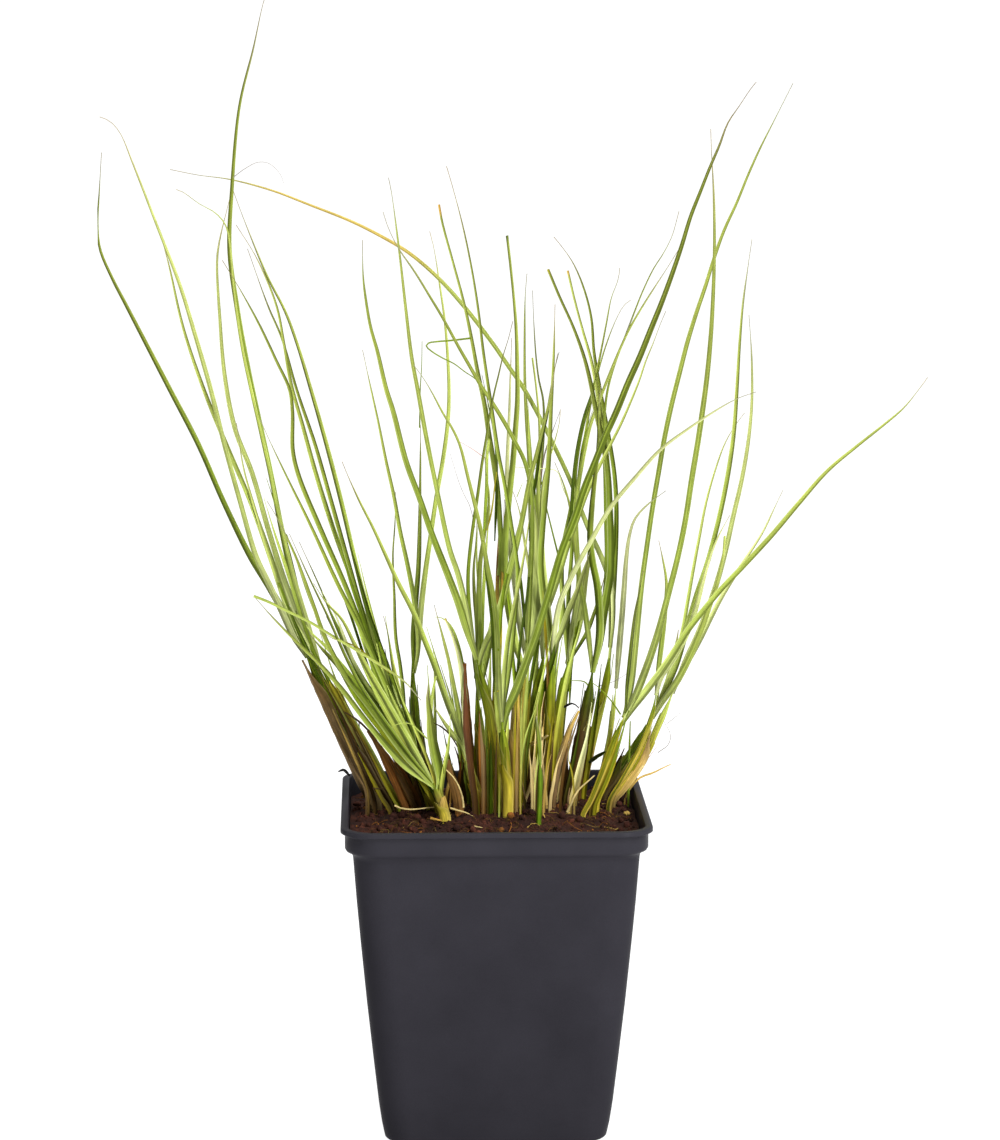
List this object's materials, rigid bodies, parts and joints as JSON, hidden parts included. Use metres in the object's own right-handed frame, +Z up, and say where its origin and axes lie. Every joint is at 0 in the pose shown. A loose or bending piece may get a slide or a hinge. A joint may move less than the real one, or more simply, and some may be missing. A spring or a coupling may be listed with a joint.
{
  "type": "potted fountain grass",
  "caption": "Tuft of narrow arching grass blades on rolled sheaths, growing from soil in a tapered square nursery pot.",
  "frame": {"origin": "on the floor, under the middle of the square pot", "axes": "+Z up along the pot and the tuft, +X to the right of the pot's flat front, +Y away from the viewer"},
  "size_m": [0.2962, 0.1886, 0.4131],
  "materials": {
    "pot_plastic": "satin charcoal moulded plastic",
    "soil_peat": "dark fibrous peat",
    "grass_green": "ribbed living blade and sheath, satin",
    "grass_brown": "dead sheath, dull",
    "grass_straw": "dry straw-coloured sheath and leaf, dull"
  },
  "bodies": {
    "root": {"pot": "pot_plastic", "soil": "soil_peat", "tiller_left_outer": "grass_green", "tiller_left_second": "grass_green", "tiller_left_fan_front": "grass_green", "tiller_left_fan_middle": "grass_green", "tiller_left_fan_back": "grass_green", "tiller_left_upright": "grass_green", "tiller_centre_left": "grass_green", "tiller_centre_second": "grass_green", "tiller_centre_main": "grass_green", "tiller_centre_front": "grass_green", "tiller_centre_yellow": "grass_green", "tiller_centre_brown": "grass_green", "tiller_centre_right": "grass_green", "tiller_right_inner": "grass_green", "tiller_right_dark": "grass_green", "tiller_right_olive": "grass_green", "tiller_right_fork": "grass_green", "tiller_right_slim": "grass_green", "tiller_right_thin": "grass_green", "tiller_right_green": "grass_green", "tiller_right_straw": "grass_green", "tiller_young": "grass_green", "dry_sheath_left": "grass_brown", "dry_sheath_front": "grass_straw", "dry_sheath_centre": "grass_brown", "dry_sheath_right": "grass_straw", "dry_stem_upright": "grass_brown", "dry_leaf_left": "grass_brown", "dry_leaf_front": "grass_straw", "dry_leaf_right": "grass_straw"}
  },
  "joints": []
}
